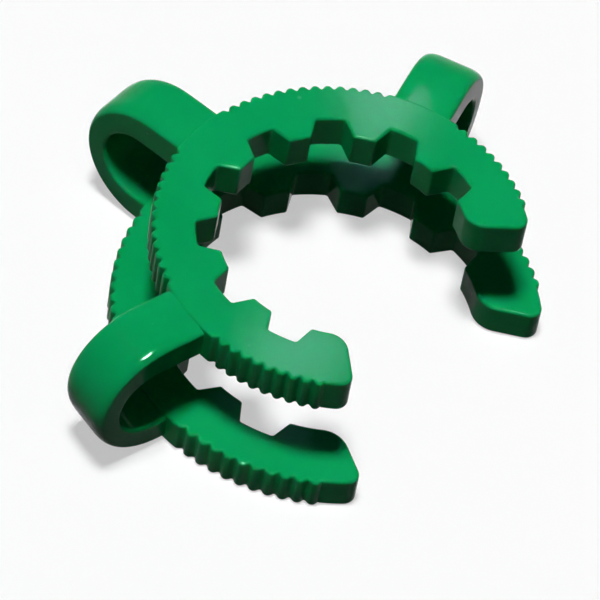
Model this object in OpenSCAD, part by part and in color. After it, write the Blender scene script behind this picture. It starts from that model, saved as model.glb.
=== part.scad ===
// Ground glass joint clip: one springy moulding that keeps a tapered glass joint from pulling apart.
// The upper, smaller ring snaps round the neck of the cone and the lower, larger ring round the socket.
// Three outward loops join the two rings and act as the springs between them.
// The ring axis is Z, the mouth opens towards +X, and the origin is on the axis at the underside.

/* [Glass seats] */
// Radius of the circle through the tooth tips of the upper ring, which grips the neck
neck_seat_r = 11.5; // [11:0.1:12.5]
// Radius of the circle through the tooth tips of the lower ring, which grips the socket
socket_seat_r = 14; // [13.5:0.1:15]

/* [Rings] */
// Height of the clip, from the underside of the lower ring to the top of the upper ring
clip_h = 14.35; // [13.5:0.05:18]
// Thickness of the upper ring
upper_t = 3.85; // [3.2:0.05:4.5]
// Thickness of the lower ring
lower_t = 3.45; // [3:0.05:4.2]
// Width of the upper ring, from its tooth tips to the crests of its rim
upper_w = 6.05; // [5.4:0.05:7]
// Width of the lower ring, from its tooth tips to the crests of its rim
lower_w = 6.25; // [5.6:0.05:7]
// Rounding of the upper and lower edges of both rings
ring_edge_r = 0.3; // [0.15:0.05:0.5]

/* [Teeth] */
// Number of whole teeth in each ring, between the two end lobes
tooth_count = 7; // [5:2:7]
// Angle from one tooth to the next
tooth_pitch = 30; // [28:0.5:31]
// Angle that a tooth tip takes up on the seat circle
tooth_tip_arc = 10.3; // [9:0.1:12]
// Angle that the floor of a notch takes up
notch_floor_arc = 11.8; // [10:0.1:13]
// Depth of the notches
notch_d = 1.97; // [1.5:0.01:2.5]

/* [Mouth] */
// Narrowest width of the upper mouth, between its two noses
upper_mouth_w = 18.7; // [17.5:0.1:19.5]
// Narrowest width of the lower mouth, between its two noses
lower_mouth_w = 21.3; // [20.5:0.1:22.5]
// Radius of the rounded noses of the upper ring
upper_nose_r = 2; // [1.6:0.1:2.4]
// Radius of the rounded noses of the lower ring
lower_nose_r = 2.6; // [2.2:0.1:3]
// Angle of the upper lead-in faces to the mouth's centre line
upper_lead_in = 43; // [38:1:46]
// Angle of the lower lead-in faces to the mouth's centre line
lower_lead_in = 30; // [26:1:34]
// Radius of the outer corners of the end lobes
lobe_corner_r = 1.15; // [0.8:0.05:1.4]

/* [Rim ridges] */
// Angle from one ridge to the next
ridge_pitch = 3.93; // [3.7:0.01:4.3]
// Height of the ridges above the smooth ends of the rims
ridge_h = 0.32; // [0.2:0.01:0.36]
// Width of the land on top of a ridge
ridge_land = 0.2; // [0.12:0.01:0.3]
// Width of the floor left between two ridges
ridge_gap = 0.14; // [0.1:0.01:0.3]
// Angle from the mouth's centre line to the first crest of the upper rim
upper_first_crest = 57.8; // [56:0.1:66]
// Angle from the mouth's centre line to the first crest of the lower rim
lower_first_crest = 53.9; // [52:0.1:62]

/* [Spring loops] */
// Number of loops
loop_count = 3; // [1:2:3]
// Angle from one loop to the next
loop_pitch = 75; // [70:1:78]
// How far the loops reach out past the crests of the lower rim
loop_reach = 7.65; // [6.5:0.05:9]
// Width of the straps
strap_w = 5.7; // [4.6:0.1:6.4]
// Thickness of the upper leg of a strap
upper_leg_t = 3.45; // [3:0.05:3.6]
// Thickness of the lower leg of a strap
lower_leg_t = 2.7; // [2.2:0.05:2.9]
// Thickness of the strap at the end of the loop
bend_t = 2.25; // [1.8:0.05:2.8]
// Rounding of the long outer edges of the straps
strap_edge_r = 0.7; // [0.4:0.05:0.9]
// Rounding of the edges round the hole in a loop
hole_edge_r = 0.35; // [0.2:0.05:0.6]
// How far the loops lie inside the top and the underside of the clip
loop_inset = 0.15; // [0.1:0.05:0.25]
// How deep the legs of the loops are rooted in the upper ring
leg_root = 1.1; // [0.8:0.1:2]

/* [Hidden] */
$fn = 96;
clip_green = [0.03, 0.53, 0.28];
past = 1; // how far a cutter runs past what it cuts
upper_rim_r = neck_seat_r + upper_w;
lower_rim_r = socket_seat_r + lower_w;
outer_loop = 180 - loop_pitch * (loop_count - 1) / 2;
strap_half_arc = asin(strap_w / 2 / upper_rim_r);
loop_r = lower_rim_r + loop_reach;
loop_h = clip_h - 2 * loop_inset;
hole_h = loop_h - upper_leg_t - lower_leg_t;
outer_bend_x = loop_r - loop_h / 2;
inner_bend_x = loop_r - bend_t - hole_h / 2;
leg_x = upper_rim_r - leg_root;

function polar(r, angle) = r * [cos(angle), sin(angle)];

// The centre of a nose, which touches the seat circle and reaches in to the mouth's half width
function nose_centre(seat_r, mouth_w, nose_r) =
    let (y = mouth_w / 2 + nose_r)
    [sqrt(pow(seat_r + nose_r, 2) - y * y), y];

// The centre of a lobe's outer corner, which touches the lead-in face and the smooth rim
function corner_centre(nose, nose_r, lead_in, smooth_r) =
    let (face = cos(lead_in) * nose[1] - sin(lead_in) * nose[0] - nose_r,
         r = smooth_r - lobe_corner_r)
    polar(r, lead_in + asin((face + lobe_corner_r) / r));

// A rectangle that stands on the X axis, with all its corners rounded
module rounded_section(from, to, h, r) {
    translate([from, r]) square([to - from, h - 2 * r]);
    translate([from + r, 0]) square([to - from - 2 * r, h]);
    for (x = [from + r, to - r], y = [r, h - r]) translate([x, y]) circle(r);
}

// The same with only its far corners rounded, from the Y axis out
module half_section(to, h, r) {
    intersection() {
        rounded_section(-to, to, h, r);
        square([to, h]);
    }
}

// Plan of the gap between two teeth: its sides close in towards a floor that follows the ring
module notch_plan(seat_r) {
    floor_r = seat_r + notch_d;
    lip = polar(seat_r, (tooth_pitch - tooth_tip_arc) / 2);
    foot = polar(floor_r, notch_floor_arc / 2);
    run_out = (foot - lip) * past / notch_d;
    inner = lip - run_out;
    outer = foot + run_out;
    intersection() {
        circle(floor_r);
        polygon([[inner[0], -inner[1]], [outer[0], -outer[1]], outer, inner]);
    }
}

// Plan of what is cut from part of a rim, between a floor circle and the round ridges on it,
// the first of which stands at the end angle
module grooves_plan(rim_r, start, end, steps) {
    floor_r = rim_r - ridge_h;
    foot = polar(floor_r, ridge_pitch / 2 - ridge_gap * 90 / (PI * floor_r));
    shoulder = polar(rim_r, ridge_land * 90 / (PI * rim_r));
    ridge_x = (rim_r * rim_r - floor_r * floor_r) / (2 * (shoulder[0] - foot[0]));
    ridge_r = norm(shoulder - [ridge_x, 0]);
    difference() {
        polygon([[0, 0], polar(2 * rim_r, start), polar(2 * rim_r, end)]);
        circle(floor_r);
        for (i = [0:steps]) rotate(end - ridge_pitch * i) translate([ridge_x, 0]) circle(ridge_r);
    }
}

// Plan of all the grooves of a rim: centred between two loops, and counted from the outer loops
// towards the mouth, where the floor goes on as the smooth end of the rim
module grip_plan(rim_r, first_crest) {
    half_run = floor((loop_pitch / 2 - strap_half_arc) / ridge_pitch);
    skipped = ceil(strap_half_arc / ridge_pitch);
    end_steps = round((outer_loop - first_crest) / ridge_pitch) - skipped;
    for (gap = [1:1:loop_count - 1])
        rotate(outer_loop + loop_pitch * (gap - 0.5))
            grooves_plan(rim_r, -half_run * ridge_pitch, half_run * ridge_pitch, 2 * half_run);
    for (side = [0, 1]) mirror([0, side])
        grooves_plan(rim_r, 0, outer_loop - skipped * ridge_pitch, end_steps);
}

// Plan of the mouth: all that lies between the lobes, each with a round nose, a straight
// lead-in face and a round outer corner
module mouth_plan(seat_r, mouth_w, nose_r, lead_in, smooth_r) {
    nose = nose_centre(seat_r, mouth_w, nose_r);
    corner = corner_centre(nose, nose_r, lead_in, smooth_r);
    into_mouth = [sin(lead_in), -cos(lead_in)];
    seat_end = seat_r * nose / norm(nose);
    rim_end = smooth_r * corner / norm(corner);
    for (side = [0, 1]) mirror([0, side]) difference() {
        polygon([[0, -past], seat_end, nose, corner, rim_end, 2 * rim_end, [2 * rim_end[0], -past]]);
        translate(nose) circle(nose_r);
        translate(corner) circle(lobe_corner_r);
        polygon([nose, nose + nose_r * into_mouth, corner + lobe_corner_r * into_mouth, corner]);
    }
}

// One C shaped ring: a turned blank with rounded edges, less its notches, grooves and mouth
module ring(seat_r, rim_r, t, mouth_w, nose_r, lead_in, first_crest) {
    difference() {
        rotate_extrude() rounded_section(seat_r, rim_r, t, ring_edge_r);
        translate([0, 0, -past]) linear_extrude(t + 2 * past) {
            for (i = [0:tooth_count])
                rotate(180 + tooth_pitch * (i - tooth_count / 2)) notch_plan(seat_r);
            grip_plan(rim_r, first_crest);
            mouth_plan(seat_r, mouth_w, nose_r, lead_in, rim_r - ridge_h);
        }
    }
}

// A straight bar along X with the section that is drawn as width by height
module bar(from_x, to_x) {
    translate([from_x, 0, 0]) rotate([90, 0, 90]) linear_extrude(to_x - from_x) children();
}

// A half turn round the end of a loop, with the section that is drawn as radius by width
module half_turn(x) {
    translate([x, 0, 0]) rotate([90, 0, 0]) rotate(-90) rotate_extrude(angle = 180) children();
}

// Section of half the hole in a loop, as radius by width, flared at both faces of the strap
module hole_section() {
    edge_x = hole_h / 2 + hole_edge_r;
    difference() {
        translate([0, -strap_w / 2 - past]) square([edge_x, strap_w + 2 * past]);
        translate([hole_h / 2, -strap_w / 2]) rounded_section(0, 2 * edge_x, strap_w, hole_edge_r);
    }
}

// One spring loop, pointing along +X: a strap that leaves the upper ring, bends round and comes
// back to the lower ring, thinnest at the bend
module loop() {
    translate([0, 0, clip_h / 2]) difference() {
        union() {
            bar(leg_x, outer_bend_x)
                translate([0, -loop_h / 2]) rounded_section(-strap_w / 2, strap_w / 2, loop_h, strap_edge_r);
            half_turn(outer_bend_x)
                translate([0, -strap_w / 2]) half_section(loop_h / 2, strap_w, strap_edge_r);
        }
        translate([0, 0, (lower_leg_t - upper_leg_t) / 2]) {
            bar(leg_x - past, inner_bend_x)
                for (side = [0, 1]) mirror([0, side]) rotate(90) hole_section();
            half_turn(inner_bend_x) hole_section();
        }
    }
}

module joint_clip() {
    color(clip_green) {
        ring(socket_seat_r, lower_rim_r, lower_t, lower_mouth_w, lower_nose_r, lower_lead_in,
            lower_first_crest);
        translate([0, 0, clip_h - upper_t])
            ring(neck_seat_r, upper_rim_r, upper_t, upper_mouth_w, upper_nose_r, upper_lead_in,
                upper_first_crest);
        for (i = [0:loop_count - 1]) rotate(outer_loop + loop_pitch * i) loop();
    }
}

joint_clip();
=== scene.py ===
"""Looks of the ground glass joint clip: one glossy green moulding on a pale floor.

The upper ring snaps round the neck of the cone, the lower ring round the socket, and three
U shaped loops spring them together. All sizes are in millimetres and become metres in the mesh.
"""

import logging
import math
from dataclasses import dataclass, field
from enum import Enum
from typing import Iterable, Sequence

import bmesh
import bpy
from mathutils import Matrix, Vector


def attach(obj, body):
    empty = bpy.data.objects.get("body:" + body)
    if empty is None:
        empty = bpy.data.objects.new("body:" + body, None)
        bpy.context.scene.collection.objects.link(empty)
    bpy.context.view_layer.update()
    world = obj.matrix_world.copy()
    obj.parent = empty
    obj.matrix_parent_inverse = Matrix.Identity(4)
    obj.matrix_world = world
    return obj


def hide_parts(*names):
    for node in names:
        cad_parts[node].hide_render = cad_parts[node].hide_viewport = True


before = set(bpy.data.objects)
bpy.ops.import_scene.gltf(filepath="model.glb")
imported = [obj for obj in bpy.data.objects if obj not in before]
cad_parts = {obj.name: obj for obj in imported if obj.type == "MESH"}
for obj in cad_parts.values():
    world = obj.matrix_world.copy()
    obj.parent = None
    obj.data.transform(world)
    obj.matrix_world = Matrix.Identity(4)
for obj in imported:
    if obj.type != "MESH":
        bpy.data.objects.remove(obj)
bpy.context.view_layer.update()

MM = 0.001
LOG = logging.getLogger("joint_clip")

Colour = tuple[float, float, float]
SKYLIGHT: Colour = (0.7, 0.65, 1.0)


def polar(radius: float, degrees: float) -> Vector:
    """The plan point at a radius and an angle from the middle of the mouth."""
    angle = math.radians(degrees)
    return Vector((radius * math.cos(angle), radius * math.sin(angle)))


def heading(direction: Vector) -> float:
    """The angle of a plan direction, in degrees."""
    return math.degrees(math.atan2(direction.y, direction.x))


def arc(centre: Vector, radius: float, start: float, end: float, steps: int) -> list[Vector]:
    """Points on an arc, both ends included.

    Args:
        centre: The arc's centre in the plan.
        radius: Its radius.
        start: The angle of its first point, in degrees.
        end: The angle of its last point, in degrees.
        steps: How many chords stand for it.

    Returns:
        The points from start to end.
    """
    return [centre + polar(radius, start + (end - start) * i / steps) for i in range(steps + 1)]


def skin_over(bm: bmesh.types.BMesh, loops: Iterable[Sequence[Vector]]) -> None:
    """Draws a closed skin: a face on the first loop, its rim drawn from loop to loop, and a lid.

    Args:
        bm: The mesh that takes the skin.
        loops: Closed loops of points in millimetres, all of one length.
    """
    loops = iter(loops)
    verts = [bm.verts.new(point * MM) for point in next(loops)]
    edges = [bm.edges.new((verts[i - 1], verts[i])) for i in range(len(verts))]
    bmesh.ops.contextual_create(bm, geom=edges)
    for loop in loops:
        grown = bmesh.ops.extrude_edge_only(bm, edges=edges)["geom"]
        fresh = {item for item in grown if isinstance(item, bmesh.types.BMVert)}
        verts = [
            next(far for far in (e.other_vert(v) for e in v.link_edges) if far in fresh)
            for v in verts
        ]
        for vert, point in zip(verts, loop):
            vert.co = point * MM
        edges = [
            item
            for item in grown
            if isinstance(item, bmesh.types.BMEdge) and fresh.issuperset(item.verts)
        ]
    bmesh.ops.contextual_create(bm, geom=edges)


def mesh_object(name: str, bm: bmesh.types.BMesh) -> bpy.types.Object:
    """Turns a finished bmesh into an object of the scene, with its faces outward.

    Args:
        name: The object's name.
        bm: The mesh, which is freed.

    Returns:
        The new object, at the origin.
    """
    bmesh.ops.recalc_face_normals(bm, faces=bm.faces[:])
    mesh = bpy.data.meshes.new(name)
    bm.to_mesh(mesh)
    bm.free()
    thing = bpy.data.objects.new(name, mesh)
    bpy.context.scene.collection.objects.link(thing)
    return thing


class RingPlace(Enum):
    """Which of the two rings a ring is."""

    LOWER = "socket_ring"
    UPPER = "neck_ring"


@dataclass(frozen=True)
class ToothForm:
    """The teeth round the inside of a ring, given by the notches between them.

    Pitches and arcs are in degrees, the other sizes in millimetres.
    """

    count: int = 7
    pitch: float = 30.0
    tip_arc: float = 10.3
    floor_arc: float = 11.8
    depth: float = 1.97
    tip_round: float = 0.32
    floor_round: float = 0.3
    tip_steps: int = 5
    root_steps: int = 4
    floor_steps: int = 3

    def centres(self) -> list[float]:
        """The angles of the notches between the mouth and the back of the ring."""
        first = 180 - self.pitch * self.count / 2
        return [first + self.pitch * i for i in range((self.count + 1) // 2)]

    def half_notch(self, seat_r: float, inset: float) -> list[Vector]:
        """Half a notch, from its rounded lip to the middle of its floor.

        Args:
            seat_r: Radius of the circle through the tooth tips.
            inset: How far the outline is drawn into the plastic.

        Returns:
            Points in the notch's own frame, whose X axis is its centre line.
        """
        floor_r = seat_r + self.depth
        lip = polar(seat_r, (self.pitch - self.tip_arc) / 2)
        foot = polar(floor_r, self.floor_arc / 2)
        along = (foot - lip).normalized()
        into_tooth = Vector((-along.y, along.x))
        if into_tooth.y < 0:
            into_tooth.negate()
        side = lip.dot(into_tooth)

        def centre(from_axis: float, from_side: float) -> Vector:
            """The centre of a fillet between the side and a circle about the ring's axis."""
            reach = math.sqrt(from_axis**2 - from_side**2)
            return from_side * into_tooth + reach * along

        tip_centre = centre(seat_r + self.tip_round, side + self.tip_round)
        floor_centre = centre(floor_r - self.floor_round, side - self.floor_round)
        out = heading(into_tooth)
        tip_r, tip_start = self.tip_round - inset, heading(-tip_centre)
        tip = arc(tip_centre, tip_r, tip_start, out - 180, self.tip_steps)
        root_r, root_end = self.floor_round + inset, heading(floor_centre)
        root = arc(floor_centre, root_r, out, root_end, self.root_steps)
        floor = arc(Vector((0, 0)), floor_r + inset, root_end, 0, self.floor_steps)
        return tip + root + floor[1:]


@dataclass(frozen=True)
class RimForm:
    """The ridged grip round the outside of a ring, a wave of round ridges and narrower grooves.

    The pitch is in degrees, the height in millimetres. The fullness is the share of the height by
    which the flanks of a ridge bulge.
    """

    pitch: float = 3.93
    height: float = 0.4
    fullness: float = 0.22
    samples: int = 14

    def radius(self, rim_r: float, angle: float, inset: float) -> float:
        """The rim's radius on a run of ridges.

        Args:
            rim_r: Radius of the crests.
            angle: The angle from a crest, in degrees.
            inset: How far the outline is drawn into the plastic.

        Returns:
            The radius in millimetres.
        """
        phase = 2 * math.pi * angle / self.pitch
        swing = (1 - math.cos(phase)) / 2
        full = self.fullness * (1 - math.cos(2 * phase)) / 2
        slope = self.height * math.pi / math.radians(self.pitch) / rim_r * math.sin(phase)
        return rim_r - self.height * (swing - full) - inset * math.sqrt(1 + slope**2)

    def steps(self, start: float, count: float) -> list[float]:
        """Angles over a run of ridges.

        Args:
            start: The angle of the first crest.
            count: How many pitches the run goes on, towards smaller angles.

        Returns:
            The angles from the first crest to just before the end of the run.
        """
        step = self.pitch / self.samples
        return [start - step * i for i in range(round(count * self.samples))]


@dataclass(frozen=True)
class ClipRing:
    """One C shaped ring with its teeth, its mouth with round lobes, and its ridged rim.

    The lead_in, the first crest and the loops' angles are in degrees from the middle of the mouth,
    the other sizes in millimetres.
    """

    place: RingPlace
    seat_r: float
    width: float
    thickness: float
    base_z: float
    mouth_w: float
    nose_r: float
    lead_in: float
    first_crest: float
    corner_r: float = 1.15
    corner_steps: int = 10
    nose_steps: int = 14
    edge_r: float = 0.3
    edge_steps: int = 5
    smooth_drop: float = 0.33
    loop_angles: tuple[float, ...] = (105.0, 180.0)
    loop_half_arc: float = 9.4
    plain_step: float = 1.2
    teeth: ToothForm = field(default_factory=ToothForm)
    rim: RimForm = field(default_factory=RimForm)

    @property
    def rim_r(self) -> float:
        """Radius of the rim's crests."""
        return self.seat_r + self.width

    def ridge_runs(self) -> list[tuple[float, float]]:
        """The runs of ridges from the back of the ring to the mouth.

        Returns:
            For each run the angle of its first crest and how many pitches it goes on, of which
            the last run ends on the floor of a groove.
        """
        outer, middle = self.loop_angles
        pitch = self.rim.pitch
        half_run = int((middle - outer) / 2 / pitch - self.loop_half_arc / pitch)
        skipped = math.ceil(self.loop_half_arc / pitch)
        last = round((outer - self.first_crest) / pitch)
        return [
            ((outer + middle) / 2 + pitch * half_run, 2 * half_run),
            (outer - pitch * skipped, last - skipped + 0.5),
        ]

    @property
    def smooth_start(self) -> float:
        """The angle where the ridges end and the smooth end of the rim begins."""
        start, count = self.ridge_runs()[-1]
        return start - self.rim.pitch * count

    def plain_angles(self, start: float, end: float) -> list[float]:
        """Evenly spaced angles from start to just before end, both in degrees."""
        count = max(1, math.ceil(abs(end - start) / self.plain_step))
        return [start + (end - start) * i / count for i in range(count)]

    def rim_points(self, inset: float) -> list[Vector]:
        """The rim from the back of the ring to just before its smooth end.

        Args:
            inset: How far the outline is drawn into the plastic.

        Returns:
            The points, in millimetres.
        """
        points: list[Vector] = []
        at = 180.0
        for start, count in self.ridge_runs():
            points += [polar(self.rim_r - inset, a) for a in self.plain_angles(at, start)]
            for a in self.rim.steps(start, count):
                points.append(polar(self.rim.radius(self.rim_r, start - a, inset), a))
            at = start - self.rim.pitch * count
        return points

    def lobe_points(self, inset: float) -> list[Vector]:
        """The smooth end of the rim, the outer corner, the lead-in face and the nose.

        Args:
            inset: How far the outline is drawn into the plastic.

        Returns:
            The points, the last one where the nose meets the seat circle.
        """
        smooth_r = self.rim_r - self.smooth_drop
        nose_y = self.mouth_w / 2 + self.nose_r
        nose = Vector((math.sqrt((self.seat_r + self.nose_r) ** 2 - nose_y**2), nose_y))
        into_mouth = polar(1, self.lead_in - 90)
        face = nose.dot(-into_mouth) - self.nose_r
        corner_run = smooth_r - self.corner_r
        lift = math.degrees(math.asin((face + self.corner_r) / corner_run))
        corner = polar(corner_run, self.lead_in + lift)
        smooth = self.plain_angles(self.smooth_start, heading(corner))
        rim = [polar(smooth_r - inset, angle) for angle in smooth]
        turn = self.lead_in - 90
        outer = arc(corner, self.corner_r - inset, heading(corner), turn, self.corner_steps)
        inner = arc(nose, self.nose_r - inset, turn, heading(nose) - 180, self.nose_steps)
        return rim + outer + inner

    def tooth_points(self, inset: float, from_angle: float) -> list[Vector]:
        """The inside of the ring, tooth by tooth, from the nose to the back.

        Args:
            inset: How far the outline is drawn into the plastic.
            from_angle: The angle where the nose meets the seat circle.

        Returns:
            The points, the last one on the ring's middle plane.
        """
        half = self.teeth.half_notch(self.seat_r, inset)
        mirrored = [Vector((p.x, -p.y)) for p in half]
        points: list[Vector] = []
        at = from_angle
        for centre in self.teeth.centres():
            turn = Matrix.Rotation(math.radians(centre), 2)
            lip = centre + heading(mirrored[0])
            points += [polar(self.seat_r + inset, a) for a in self.plain_angles(at, lip)[1:]]
            points += [turn @ p for p in mirrored] + [turn @ p for p in reversed(half[:-1])]
            at = centre + heading(half[0])
        tip = self.plain_angles(at, 180.0)[1:] + [180.0]
        return points + [polar(self.seat_r + inset, a) for a in tip]

    def outline(self, inset: float) -> list[Vector]:
        """The ring's whole outline, one half from the parts above and the other its mirror image.

        Args:
            inset: How far the outline is drawn into the plastic.

        Returns:
            The points, in millimetres.
        """
        lobe = self.lobe_points(inset)
        half = self.rim_points(inset) + lobe
        half += self.tooth_points(inset, heading(lobe[-1]))
        return half + [Vector((p.x, -p.y)) for p in reversed(half[1:-1])]

    def build(self) -> bpy.types.Object:
        """Raises the outline through its two rounded edges into a closed ring.

        Returns:
            The ring as an object.
        """
        quarter = [math.pi / 2 * i / self.edge_steps for i in range(self.edge_steps + 1)]
        edge = [(self.edge_r * (1 - math.cos(a)), self.edge_r * math.sin(a)) for a in quarter]
        layers = [(inset, self.edge_r - rise) for inset, rise in reversed(edge)]
        layers += [(inset, self.thickness - self.edge_r + rise) for inset, rise in edge]
        loops = (
            [Vector((p.x, p.y, self.base_z + z)) for p in self.outline(inset)]
            for inset, z in layers
        )
        bm = bmesh.new()
        skin_over(bm, loops)
        return mesh_object(self.place.value, bm)


@dataclass(frozen=True)
class SpringLoops:
    """The three straps that leave the upper ring, bend round and come back to the lower ring.

    The pitch between them is in degrees, the other sizes in millimetres. The outer side is crowned
    over crown_reach from each edge, and the hole's bend lies hole_shift off the middle height.
    """

    count: int = 3
    pitch: float = 75.0
    height: float = 14.05
    mid_z: float = 7.175
    width: float = 5.7
    root_x: float = 16.45
    outer_bend_x: float = 20.86
    inner_bend_x: float = 21.69
    hole_h: float = 7.6
    hole_shift: float = -0.225
    outer_round: float = 0.6
    crown_reach: float = 1.4
    inner_round: float = 0.35
    bend_steps: int = 40
    leg_steps: int = 3
    round_steps: int = 8

    def section(self, outer: Vector, inner: Vector, normal: Vector) -> list[Vector]:
        """One section across a strap, a rectangle with rounded corners and a crowned outer side.

        Args:
            outer: The middle of its outer side, in the plane of the loop.
            inner: The middle of its inner side.
            normal: The direction out of the loop.

        Returns:
            The points round the section.
        """
        half = self.width / 2
        crown = outer - self.outer_round * normal, self.outer_round, self.crown_reach
        edge = inner + self.inner_round * normal, self.inner_round, self.inner_round
        points: list[Vector] = []
        for (centre, depth, reach), side, start in (
            (crown, 1, 90), (crown, -1, 0), (edge, -1, -90), (edge, 1, 180)
        ):
            for i in range(self.round_steps + 1):
                turn = polar(1, start - 90 * i / self.round_steps)
                y = side * (half - reach) + reach * turn.y
                flat = centre + depth * turn.x * normal
                points.append(Vector((flat.x, y, flat.y)))
        return points

    def sections(self) -> Iterable[list[Vector]]:
        """The sections of one strap along the X axis.

        Returns:
            The sections from the root of the lower leg round the bend to the upper root.
        """
        bend_r = self.height / 2
        hole_r = self.hole_h / 2
        leg = [i / self.leg_steps for i in range(self.leg_steps)]
        stops = [(-90.0, run) for run in leg]
        stops += [(-90 + 180 * i / self.bend_steps, 1.0) for i in range(self.bend_steps + 1)]
        stops += [(90.0, run) for run in reversed(leg)]
        for angle, run in stops:
            normal = polar(1, angle)
            outer = Vector((self.root_x + (self.outer_bend_x - self.root_x) * run, self.mid_z))
            hole_x = self.root_x + (self.inner_bend_x - self.root_x) * run
            inner = Vector((hole_x, self.mid_z + self.hole_shift))
            yield self.section(outer + bend_r * normal, inner + hole_r * normal, normal)

    def build(self) -> bpy.types.Object:
        """Sweeps one strap and repeats it round the axis.

        Returns:
            The three straps as one object.
        """
        bm = bmesh.new()
        skin_over(bm, self.sections())
        whole = self.pitch * (self.count - 1)
        first = Matrix.Rotation(math.radians(180 - whole / 2), 3, "Z")
        bmesh.ops.rotate(bm, cent=(0, 0, 0), matrix=first, verts=bm.verts[:])
        bmesh.ops.spin(
            bm,
            geom=bm.verts[:] + bm.edges[:] + bm.faces[:],
            cent=(0, 0, 0),
            axis=(0, 0, 1),
            dvec=(0, 0, 0),
            angle=math.radians(whole),
            steps=self.count - 1,
            use_merge=False,
            use_duplicate=True,
        )
        return mesh_object("spring_loops", bm)


class NodeBoard:
    """Places shader nodes in a tree and wires them up."""

    def __init__(self, tree: bpy.types.NodeTree) -> None:
        """Starts on an empty tree."""
        self.tree = tree
        tree.nodes.clear()

    def add(
        self, kind: str, wires: dict[str | int, object] | None = None, **settings: object
    ) -> bpy.types.Node:
        """Adds one node.

        Args:
            kind: The node's type name without its ShaderNode prefix, or a full type name.
            wires: For each input, a socket to link or a value to set.
            settings: Properties of the node itself.

        Returns:
            The node.
        """
        name = kind if kind.startswith("NodeGroup") else "ShaderNode" + kind
        node = self.tree.nodes.new(name)
        for key, value in settings.items():
            setattr(node, key, value)
        for key, value in (wires or {}).items():
            if isinstance(value, bpy.types.NodeSocket):
                self.tree.links.new(value, node.inputs[key])
            else:
                node.inputs[key].default_value = value
        return node


def new_group(
    name: str, inputs: dict[str, tuple[str, object]], outputs: dict[str, str]
) -> bpy.types.NodeTree:
    """Makes an empty shader group with named sockets.

    Args:
        name: The group's name.
        inputs: For each input its kind, Float or Vector, and its usual value.
        outputs: For each output its kind.

    Returns:
        The group's node tree.
    """
    group = bpy.data.node_groups.new(name, "ShaderNodeTree")
    for label, (kind, usual) in inputs.items():
        socket = group.interface.new_socket(label, in_out="INPUT", socket_type="NodeSocket" + kind)
        if usual is not None:
            socket.default_value = usual
    for label, kind in outputs.items():
        group.interface.new_socket(label, in_out="OUTPUT", socket_type="NodeSocket" + kind)
    return group


class Gloss:
    """Shader groups for the small unevenness of a surface, each placed with its own values."""

    def __init__(self) -> None:
        """Builds the groups."""
        self.mottle = self._mottle()
        self.specks = self._specks()
        self.scuffs = self._scuffs()

    @staticmethod
    def _mottle() -> bpy.types.NodeTree:
        """Broad cloudy patches, with softer or harder edges.

        Returns:
            The group, which puts out a mask from 0 to 1.
        """
        group = new_group(
            "broad_mottle",
            {
                "Vector": ("Vector", None),
                "Per Metre": ("Float", 100.0),
                "Softness": ("Float", 0.3),
            },
            {"Mask": "Float"},
        )
        board = NodeBoard(group)
        given = board.add("NodeGroupInput").outputs
        cloud = board.add(
            "TexNoise",
            {
                "Vector": given["Vector"],
                "Scale": given["Per Metre"],
                "Detail": 2.5,
                "Roughness": 0.55,
            },
        )
        low = board.add("Math", {0: 0.5, 1: given["Softness"]}, operation="SUBTRACT")
        high = board.add("Math", {0: 0.5, 1: given["Softness"]}, operation="ADD")
        mask = board.add(
            "MapRange",
            {
                "Value": cloud.outputs["Fac"],
                "From Min": low.outputs[0],
                "From Max": high.outputs[0],
            },
            interpolation_type="SMOOTHSTEP",
        )
        board.add("NodeGroupOutput", {"Mask": mask.outputs["Result"]})
        return group

    @staticmethod
    def _specks() -> bpy.types.NodeTree:
        """Sparse specks of dust: a share of the pattern's cells hold one each.

        Returns:
            The group, which puts out a mask from 0 to 1.
        """
        group = new_group(
            "dust_specks",
            {
                "Vector": ("Vector", None),
                "Per Metre": ("Float", 600.0),
                "Reach": ("Float", 0.1),
                "Share": ("Float", 0.2),
            },
            {"Mask": "Float"},
        )
        board = NodeBoard(group)
        given = board.add("NodeGroupInput").outputs
        cells = board.add("TexVoronoi", {"Vector": given["Vector"], "Scale": given["Per Metre"]})
        dice = board.add("SeparateColor", {"Color": cells.outputs["Color"]}).outputs
        kept = board.add("Math", {0: dice["Red"], 1: given["Share"]}, operation="LESS_THAN")
        reach = board.add("Math", {0: given["Reach"], 1: dice["Green"]}, operation="MULTIPLY")
        dot = board.add(
            "MapRange",
            {
                "Value": cells.outputs["Distance"],
                "From Min": 0.0,
                "From Max": reach.outputs[0],
                "To Min": 1.0,
                "To Max": 0.0,
            },
        )
        mask = board.add(
            "Math", {0: dot.outputs["Result"], 1: kept.outputs[0]}, operation="MULTIPLY"
        )
        board.add("NodeGroupOutput", {"Mask": mask.outputs[0]})
        return group

    @staticmethod
    def _scuffs() -> bpy.types.NodeTree:
        """Fine hairlines along the pattern's X axis, gathered in patches.

        Returns:
            The group, which puts out a mask from 0 to 1.
        """
        group = new_group(
            "hairline_scuffs",
            {
                "Vector": ("Vector", None),
                "Per Metre": ("Float", 300.0),
                "Stretch": ("Float", 12.0),
            },
            {"Mask": "Float"},
        )
        board = NodeBoard(group)
        given = board.add("NodeGroupInput").outputs
        split = board.add("SeparateXYZ", {"Vector": given["Vector"]}).outputs
        short = board.add("Math", {0: split["X"], 1: given["Stretch"]}, operation="DIVIDE")
        drawn = board.add("CombineXYZ", {"X": short.outputs[0], "Y": split["Y"], "Z": split["Z"]})
        lines = board.add(
            "TexNoise",
            {
                "Vector": drawn.outputs[0],
                "Scale": given["Per Metre"],
                "Detail": 4.0,
                "Roughness": 0.7,
            },
        )
        mask = board.add(
            "MapRange",
            {"Value": lines.outputs["Fac"], "From Min": 0.56, "From Max": 0.74},
            interpolation_type="SMOOTHSTEP",
        )
        board.add("NodeGroupOutput", {"Mask": mask.outputs["Result"]})
        return group


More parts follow.
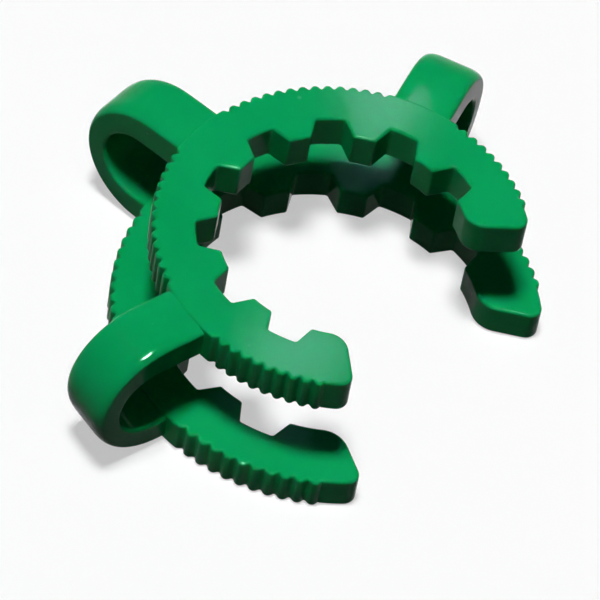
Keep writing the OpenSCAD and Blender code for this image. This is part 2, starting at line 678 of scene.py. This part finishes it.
@dataclass(frozen=True)
class MouldedAcetal:
    """Green acetal as it leaves the mould: smooth, glossy, with flow marks, dust and scuffs.

    A rate is a pattern's scale per metre. Reliefs and the glow's depth are in metres. The mirror
    reflection is kept low, because floor and backdrop are white in every reflection.
    """

    name: str = "green_acetal"
    deep: Colour = (0.0018, 0.326, 0.092)
    bright: Colour = (0.0032, 0.354, 0.104)
    speck: Colour = (0.06, 0.42, 0.20)
    gloss: float = 0.05
    dull: float = 0.08
    refraction: float = 1.48
    specular: float = 0.02
    sheen_tint: Colour = (0.5, 1.0, 0.8)
    glow_reach: Colour = (0.15, 1.0, 0.45)
    glow_share: float = 0.55
    glow_depth: float = 0.0004
    flow_rate: float = 90.0
    flow_softness: float = 0.22
    speck_rate: float = 520.0
    speck_reach: float = 0.16
    speck_share: float = 0.22
    speck_rise: float = 0.6
    scuff_rate: float = 900.0
    scuff_stretch: float = 14.0
    scuff_turn: float = 35.0
    grain_rate: float = 4200.0
    warp_rate: float = 60.0
    warp_relief: float = 0.000015
    fine_relief: float = 0.0000013
    fine_strength: float = 0.5

    def colour(
        self,
        board: NodeBoard,
        gloss: Gloss,
        place: bpy.types.NodeSocket,
        specks: bpy.types.NodeSocket,
    ) -> bpy.types.NodeSocket:
        """Mixes the flow marks and the specks into the green.

        Args:
            board: The material's board.
            gloss: The shared groups.
            place: The pattern's coordinates.
            specks: The mask of the specks.

        Returns:
            The colour's socket.
        """
        flow = board.add(
            "Group",
            {"Vector": place, "Per Metre": self.flow_rate, "Softness": self.flow_softness},
            node_tree=gloss.mottle,
        )
        plain = board.add(
            "Mix",
            {0: flow.outputs["Mask"], "A": (*self.deep, 1.0), "B": (*self.bright, 1.0)},
            data_type="RGBA",
        )
        return board.add(
            "Mix",
            {0: specks, "A": plain.outputs["Result"], "B": (*self.speck, 1.0)},
            data_type="RGBA",
        ).outputs["Result"]

    def relief(
        self,
        board: NodeBoard,
        place: bpy.types.NodeSocket,
        specks: bpy.types.NodeSocket,
        scuffs: bpy.types.NodeSocket,
    ) -> bpy.types.NodeSocket:
        """Raises the specks and the grain, cuts the scuffs and warps the whole surface a little.

        Args:
            board: The material's board.
            place: The pattern's coordinates.
            specks: The mask of the specks.
            scuffs: The mask of the scuffs.

        Returns:
            The normal's socket.
        """
        grain = board.add("TexNoise", {"Vector": place, "Scale": self.grain_rate, "Detail": 2.0})
        raised = board.add(
            "Math",
            {0: specks, 1: self.speck_rise, 2: grain.outputs["Fac"]},
            operation="MULTIPLY_ADD",
        )
        fine = board.add("Math", {0: raised.outputs[0], 1: scuffs}, operation="SUBTRACT")
        warp = board.add("TexNoise", {"Vector": place, "Scale": self.warp_rate, "Detail": 0.0})
        broad = board.add(
            "Bump",
            {"Height": warp.outputs["Fac"], "Strength": 1.0, "Distance": self.warp_relief},
        )
        return board.add(
            "Bump",
            {
                "Height": fine.outputs[0],
                "Strength": self.fine_strength,
                "Distance": self.fine_relief,
                "Normal": broad.outputs[0],
            },
        ).outputs[0]

    def material(self, gloss: Gloss) -> bpy.types.Material:
        """Builds the node material.

        Args:
            gloss: The shared groups.

        Returns:
            The material.
        """
        material = bpy.data.materials.new(self.name)
        material.use_nodes = True
        board = NodeBoard(material.node_tree)
        place = board.add("TexCoord").outputs["Object"]
        specks = board.add(
            "Group",
            {
                "Vector": place,
                "Per Metre": self.speck_rate,
                "Reach": self.speck_reach,
                "Share": self.speck_share,
            },
            node_tree=gloss.specks,
        ).outputs["Mask"]
        turn = (0.0, 0.0, math.radians(self.scuff_turn))
        turned = board.add("Mapping", {"Vector": place, "Rotation": turn})
        scuffs = board.add(
            "Group",
            {
                "Vector": turned.outputs[0],
                "Per Metre": self.scuff_rate,
                "Stretch": self.scuff_stretch,
            },
            node_tree=gloss.scuffs,
        ).outputs["Mask"]
        rough = board.add(
            "MapRange", {"Value": scuffs, "To Min": self.gloss, "To Max": self.dull}
        )
        shader = board.add(
            "BsdfPrincipled",
            {
                "Base Color": self.colour(board, gloss, place, specks),
                "Roughness": rough.outputs["Result"],
                "IOR": self.refraction,
                "Specular IOR Level": self.specular,
                "Specular Tint": (*self.sheen_tint, 1.0),
                "Subsurface Weight": self.glow_share,
                "Subsurface Radius": self.glow_reach,
                "Subsurface Scale": self.glow_depth,
                "Normal": self.relief(board, place, specks, scuffs),
            },
        )
        board.add("OutputMaterial", {"Surface": shader.outputs[0]})
        return material


@dataclass(frozen=True)
class JointClip:
    """The whole clip, one moulding.

    Edges sharper than the crease, in degrees, stay sharp. Corners nearer than the weld, in
    millimetres, become one.
    """

    node: str = "joint_clip"
    slot: str = "green_acetal"
    crease: float = 42.0
    weld: float = 0.0005
    flatness: int = 80
    rings: tuple[ClipRing, ...] = (
        ClipRing(
            place=RingPlace.LOWER,
            seat_r=14.0,
            width=6.25,
            thickness=3.45,
            base_z=0.0,
            mouth_w=21.3,
            nose_r=2.6,
            lead_in=30.0,
            first_crest=53.9,
        ),
        ClipRing(
            place=RingPlace.UPPER,
            seat_r=11.5,
            width=6.05,
            thickness=3.85,
            base_z=10.5,
            mouth_w=18.7,
            nose_r=2.0,
            lead_in=43.0,
            first_crest=57.8,
        ),
    )
    loops: SpringLoops = field(default_factory=SpringLoops)

    def united(self, parts: Sequence[bpy.types.Object]) -> bpy.types.Mesh:
        """Fuses overlapping closed shapes into one skin and removes the shapes.

        Args:
            parts: The shapes, of which the first takes up the others.

        Returns:
            The fused mesh.
        """
        base = parts[0]
        for part in parts[1:]:
            fuse = base.modifiers.new(part.name, "BOOLEAN")
            fuse.operation, fuse.solver, fuse.object = "UNION", "EXACT", part
        graph = bpy.context.evaluated_depsgraph_get()
        mesh = bpy.data.meshes.new_from_object(base.evaluated_get(graph))
        for part in parts:
            old = part.data
            bpy.data.objects.remove(part)
            bpy.data.meshes.remove(old)
        return mesh

    def build(self) -> bpy.types.Object:
        """Builds the rings and the loops and fuses them into one smooth skin.

        Returns:
            The clip as an object.
        """
        parts = [self.rings[0].build(), self.loops.build(), self.rings[1].build()]
        for part in parts:
            LOG.info("%s: %d faces", part.name, len(part.data.polygons))
        bm = bmesh.new()
        bm.from_mesh(self.united(parts))
        bmesh.ops.remove_doubles(bm, verts=bm.verts[:], dist=self.weld * MM)
        limit = math.radians(self.crease)
        for face in bm.faces:
            face.smooth = True
        for edge in bm.edges:
            edge.smooth = edge.calc_face_angle(0.0) < limit
        clip = mesh_object("moulded_clip", bm)
        normals = clip.modifiers.new("flat_faces_stay_flat", "WEIGHTED_NORMAL")
        normals.keep_sharp = True
        normals.weight = self.flatness
        return clip

    def dress(self, clip: bpy.types.Object, gloss: Gloss) -> None:
        """Gives the clip its finish and its place in the frame.

        Args:
            clip: The clip's object.
            gloss: The shared groups.
        """
        clip.data.materials.clear()
        clip.data.materials.append(MouldedAcetal().material(gloss))
        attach(clip, "root")
        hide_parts(self.node)
        LOG.info("%s: %d faces, replaces %s", clip.name, len(clip.data.polygons), self.node)


@dataclass(frozen=True)
class PhotoCamera:
    """The camera that took the photograph.

    Angles are in degrees, the aim, the distance, the lens and the sensor in millimetres, and the
    clip distances in metres.
    """

    azimuth: float = 31.173
    elevation: float = 51.209
    roll: float = 11.069
    aim: tuple[float, float, float] = (-0.99, -3.74, 7.0)
    distance: float = 484.9
    lens: float = 319.52
    sensor: float = 36.0
    clip: tuple[float, float] = (0.01, 50.0)

    def build(self) -> None:
        """Places the camera and makes it the scene's own."""
        turn, rise, roll = (math.radians(a) for a in (self.azimuth, self.elevation, self.roll))
        back = Vector(
            (math.sin(turn) * math.cos(rise), -math.cos(turn) * math.cos(rise), math.sin(rise))
        )
        level = Vector((math.cos(turn), math.sin(turn), 0))
        right = math.cos(roll) * level + math.sin(roll) * back.cross(level)
        data = bpy.data.cameras.new("photo_camera")
        data.sensor_fit, data.sensor_width, data.lens = "HORIZONTAL", self.sensor, self.lens
        data.clip_start, data.clip_end = self.clip
        camera = bpy.data.objects.new("photo_camera", data)
        axes = Matrix((right, back.cross(right), back)).transposed().to_4x4()
        place = (Vector(self.aim) + self.distance * back) * MM
        camera.matrix_world = Matrix.Translation(place) @ axes
        bpy.context.scene.collection.objects.link(camera)
        bpy.context.scene.camera = camera


@dataclass(frozen=True)
class PaleFloor:
    """A pale matt tabletop that throws little light back up.

    The veil is the share of plain white over its shadows, where the floor is seen directly.
    """

    name: str = "pale_floor"
    shown: Colour = (0.955, 0.955, 0.955)
    shaded: Colour = (0.93, 0.935, 0.94)
    bounce: Colour = (0.02, 0.02, 0.02)
    veil: float = 0.5
    cloud_rate: float = 9.0
    cloud_softness: float = 0.4

    def material(self, gloss: Gloss) -> bpy.types.Material:
        """Builds the node material.

        Args:
            gloss: The shared groups.

        Returns:
            The material.
        """
        material = bpy.data.materials.new(self.name)
        material.use_nodes = True
        board = NodeBoard(material.node_tree)
        place = board.add("TexCoord").outputs["Object"]
        cloud = board.add(
            "Group",
            {"Vector": place, "Per Metre": self.cloud_rate, "Softness": self.cloud_softness},
            node_tree=gloss.mottle,
        )
        pale = board.add(
            "Mix",
            {0: cloud.outputs["Mask"], "A": (*self.shown, 1.0), "B": (*self.shaded, 1.0)},
            data_type="RGBA",
        )
        seen = seen_directly(board)
        colour = board.add(
            "Mix",
            {0: seen, "A": (*self.bounce, 1.0), "B": pale.outputs["Result"]},
            data_type="RGBA",
        )
        cloth = board.add("BsdfDiffuse", {"Color": colour.outputs["Result"]})
        white = board.add("Emission", {"Strength": 1.0})
        veil = board.add("Math", {0: seen, 1: self.veil}, operation="MULTIPLY")
        shader = board.add(
            "MixShader", {0: veil.outputs[0], 1: cloth.outputs[0], 2: white.outputs[0]}
        )
        board.add("OutputMaterial", {"Surface": shader.outputs[0]})
        return material


def seen_directly(board: NodeBoard) -> bpy.types.NodeSocket:
    """Adds a mask that is 1 for what the camera sees, straight or in a reflection.

    Args:
        board: The board of the material or world.

    Returns:
        The mask's socket.
    """
    path = board.add("LightPath").outputs
    seen = path["Is Camera Ray"]
    for kind in ("Is Glossy Ray", "Is Transmission Ray"):
        seen = board.add("Math", {0: seen, 1: path[kind]}, operation="MAXIMUM").outputs[0]
    return seen


class LampUse(Enum):
    """What a lamp does for the object: it lights it, or it only shows as a glint on it."""

    LIGHT = "light"
    GLINT = "glint"


@dataclass(frozen=True)
class SoftLamp:
    """A flat lamp that faces the object, round when its two sides are equal, else a rectangle.

    Places and sizes are in metres, the power in watts.
    """

    name: str
    use: LampUse
    place: tuple[float, float, float]
    size: tuple[float, float]
    power: float
    colour: Colour = (1.0, 1.0, 1.0)
    along: tuple[float, float, float] = (0.0, 1.0, 0.0)
    aim: tuple[float, float, float] = (0.0, 0.0, 0.01)

    def build(self) -> None:
        """Hangs the lamp, with the second side of its size along the given direction."""
        data = bpy.data.lights.new(self.name, "AREA")
        data.shape = "ELLIPSE" if self.size[0] == self.size[1] else "RECTANGLE"
        data.size, data.size_y = self.size
        data.energy, data.color = self.power, self.colour
        back = (Vector(self.place) - Vector(self.aim)).normalized()
        side = Vector(self.along).cross(back).normalized()
        axes = Matrix((side, back.cross(side), back)).transposed().to_4x4()
        lamp = bpy.data.objects.new(self.name, data)
        lamp.matrix_world = Matrix.Translation(self.place) @ axes
        lamp.visible_diffuse = self.use is LampUse.LIGHT
        lamp.visible_glossy = self.use is LampUse.GLINT
        bpy.context.scene.collection.objects.link(lamp)


@dataclass(frozen=True)
class Studio:
    """The pale floor, the overhead lamp, the lamps that only show as glints, and the dim room.

    Sizes are in metres. The room's walls are white up to the horizon's first height and fade to
    the ceiling's level at its second, both as the upward share of a direction.
    """

    floor_half: float = 4.0
    floor_z: float = -0.00005
    ambient: float = 0.055
    horizon: tuple[float, float] = (0.05, 0.25)
    ceiling: float = 0.02
    lamps: tuple[SoftLamp, ...] = (
        SoftLamp("overhead", LampUse.LIGHT, (-0.137, -0.257, 2.5), (0.5, 0.5), 60.0),
        SoftLamp("twin_tube", LampUse.GLINT, (0.2, -0.53, 2.44), (0.3, 0.8), 1100.0),
        SoftLamp("side_window", LampUse.GLINT, (-1.35, -0.475, 2.05), (0.5, 0.5), 3.0),
        SoftLamp(
            "far_window", LampUse.GLINT, (-1.113, 1.893, 2.514), (0.05, 0.05), 0.7, SKYLIGHT
        ),
        SoftLamp(
            "near_window", LampUse.GLINT, (-1.012, 1.679, 2.514), (0.065, 0.065), 0.88, SKYLIGHT
        ),
    )

    def build(self, gloss: Gloss) -> None:
        """Lays the floor, hangs the lamps and lights the room.

        Args:
            gloss: The shared groups.
        """
        bm = bmesh.new()
        bmesh.ops.create_grid(bm, x_segments=1, y_segments=1, size=self.floor_half)
        bmesh.ops.translate(bm, verts=bm.verts[:], vec=(0, 0, self.floor_z))
        floor = mesh_object("tabletop", bm)
        floor.data.materials.append(PaleFloor().material(gloss))
        for lamp in self.lamps:
            lamp.build()
        self.room()

    def room(self) -> None:
        """Makes a dim ceiling over a pale horizon, which lights the object only faintly."""
        world = bpy.data.worlds.new("room")
        bpy.context.scene.world = world
        world.use_nodes = True
        board = NodeBoard(world.node_tree)
        up = board.add("SeparateXYZ", {"Vector": board.add("TexCoord").outputs["Generated"]})
        white_up_to, dim_from = self.horizon
        shown = board.add(
            "MapRange",
            {
                "Value": up.outputs["Z"],
                "From Min": white_up_to,
                "From Max": dim_from,
                "To Min": 1.0,
                "To Max": self.ceiling,
            },
            interpolation_type="SMOOTHSTEP",
        )
        level = board.add(
            "Mix",
            {0: seen_directly(board), 2: self.ambient, 3: shown.outputs["Result"]},
            data_type="FLOAT",
        )
        light = board.add("Background", {"Strength": level.outputs[0]})
        board.add("OutputWorld", {"Surface": light.outputs[0]})


def main() -> None:
    """Builds the clip and the studio, and reports each piece."""
    logging.basicConfig(level=logging.INFO, format="%(name)s: %(message)s")
    gloss = Gloss()
    clip = JointClip()
    clip.dress(clip.build(), gloss)
    PhotoCamera().build()
    Studio().build(gloss)
    bpy.context.scene.view_settings.view_transform = "Standard"


if __name__ == "__main__":
    main()
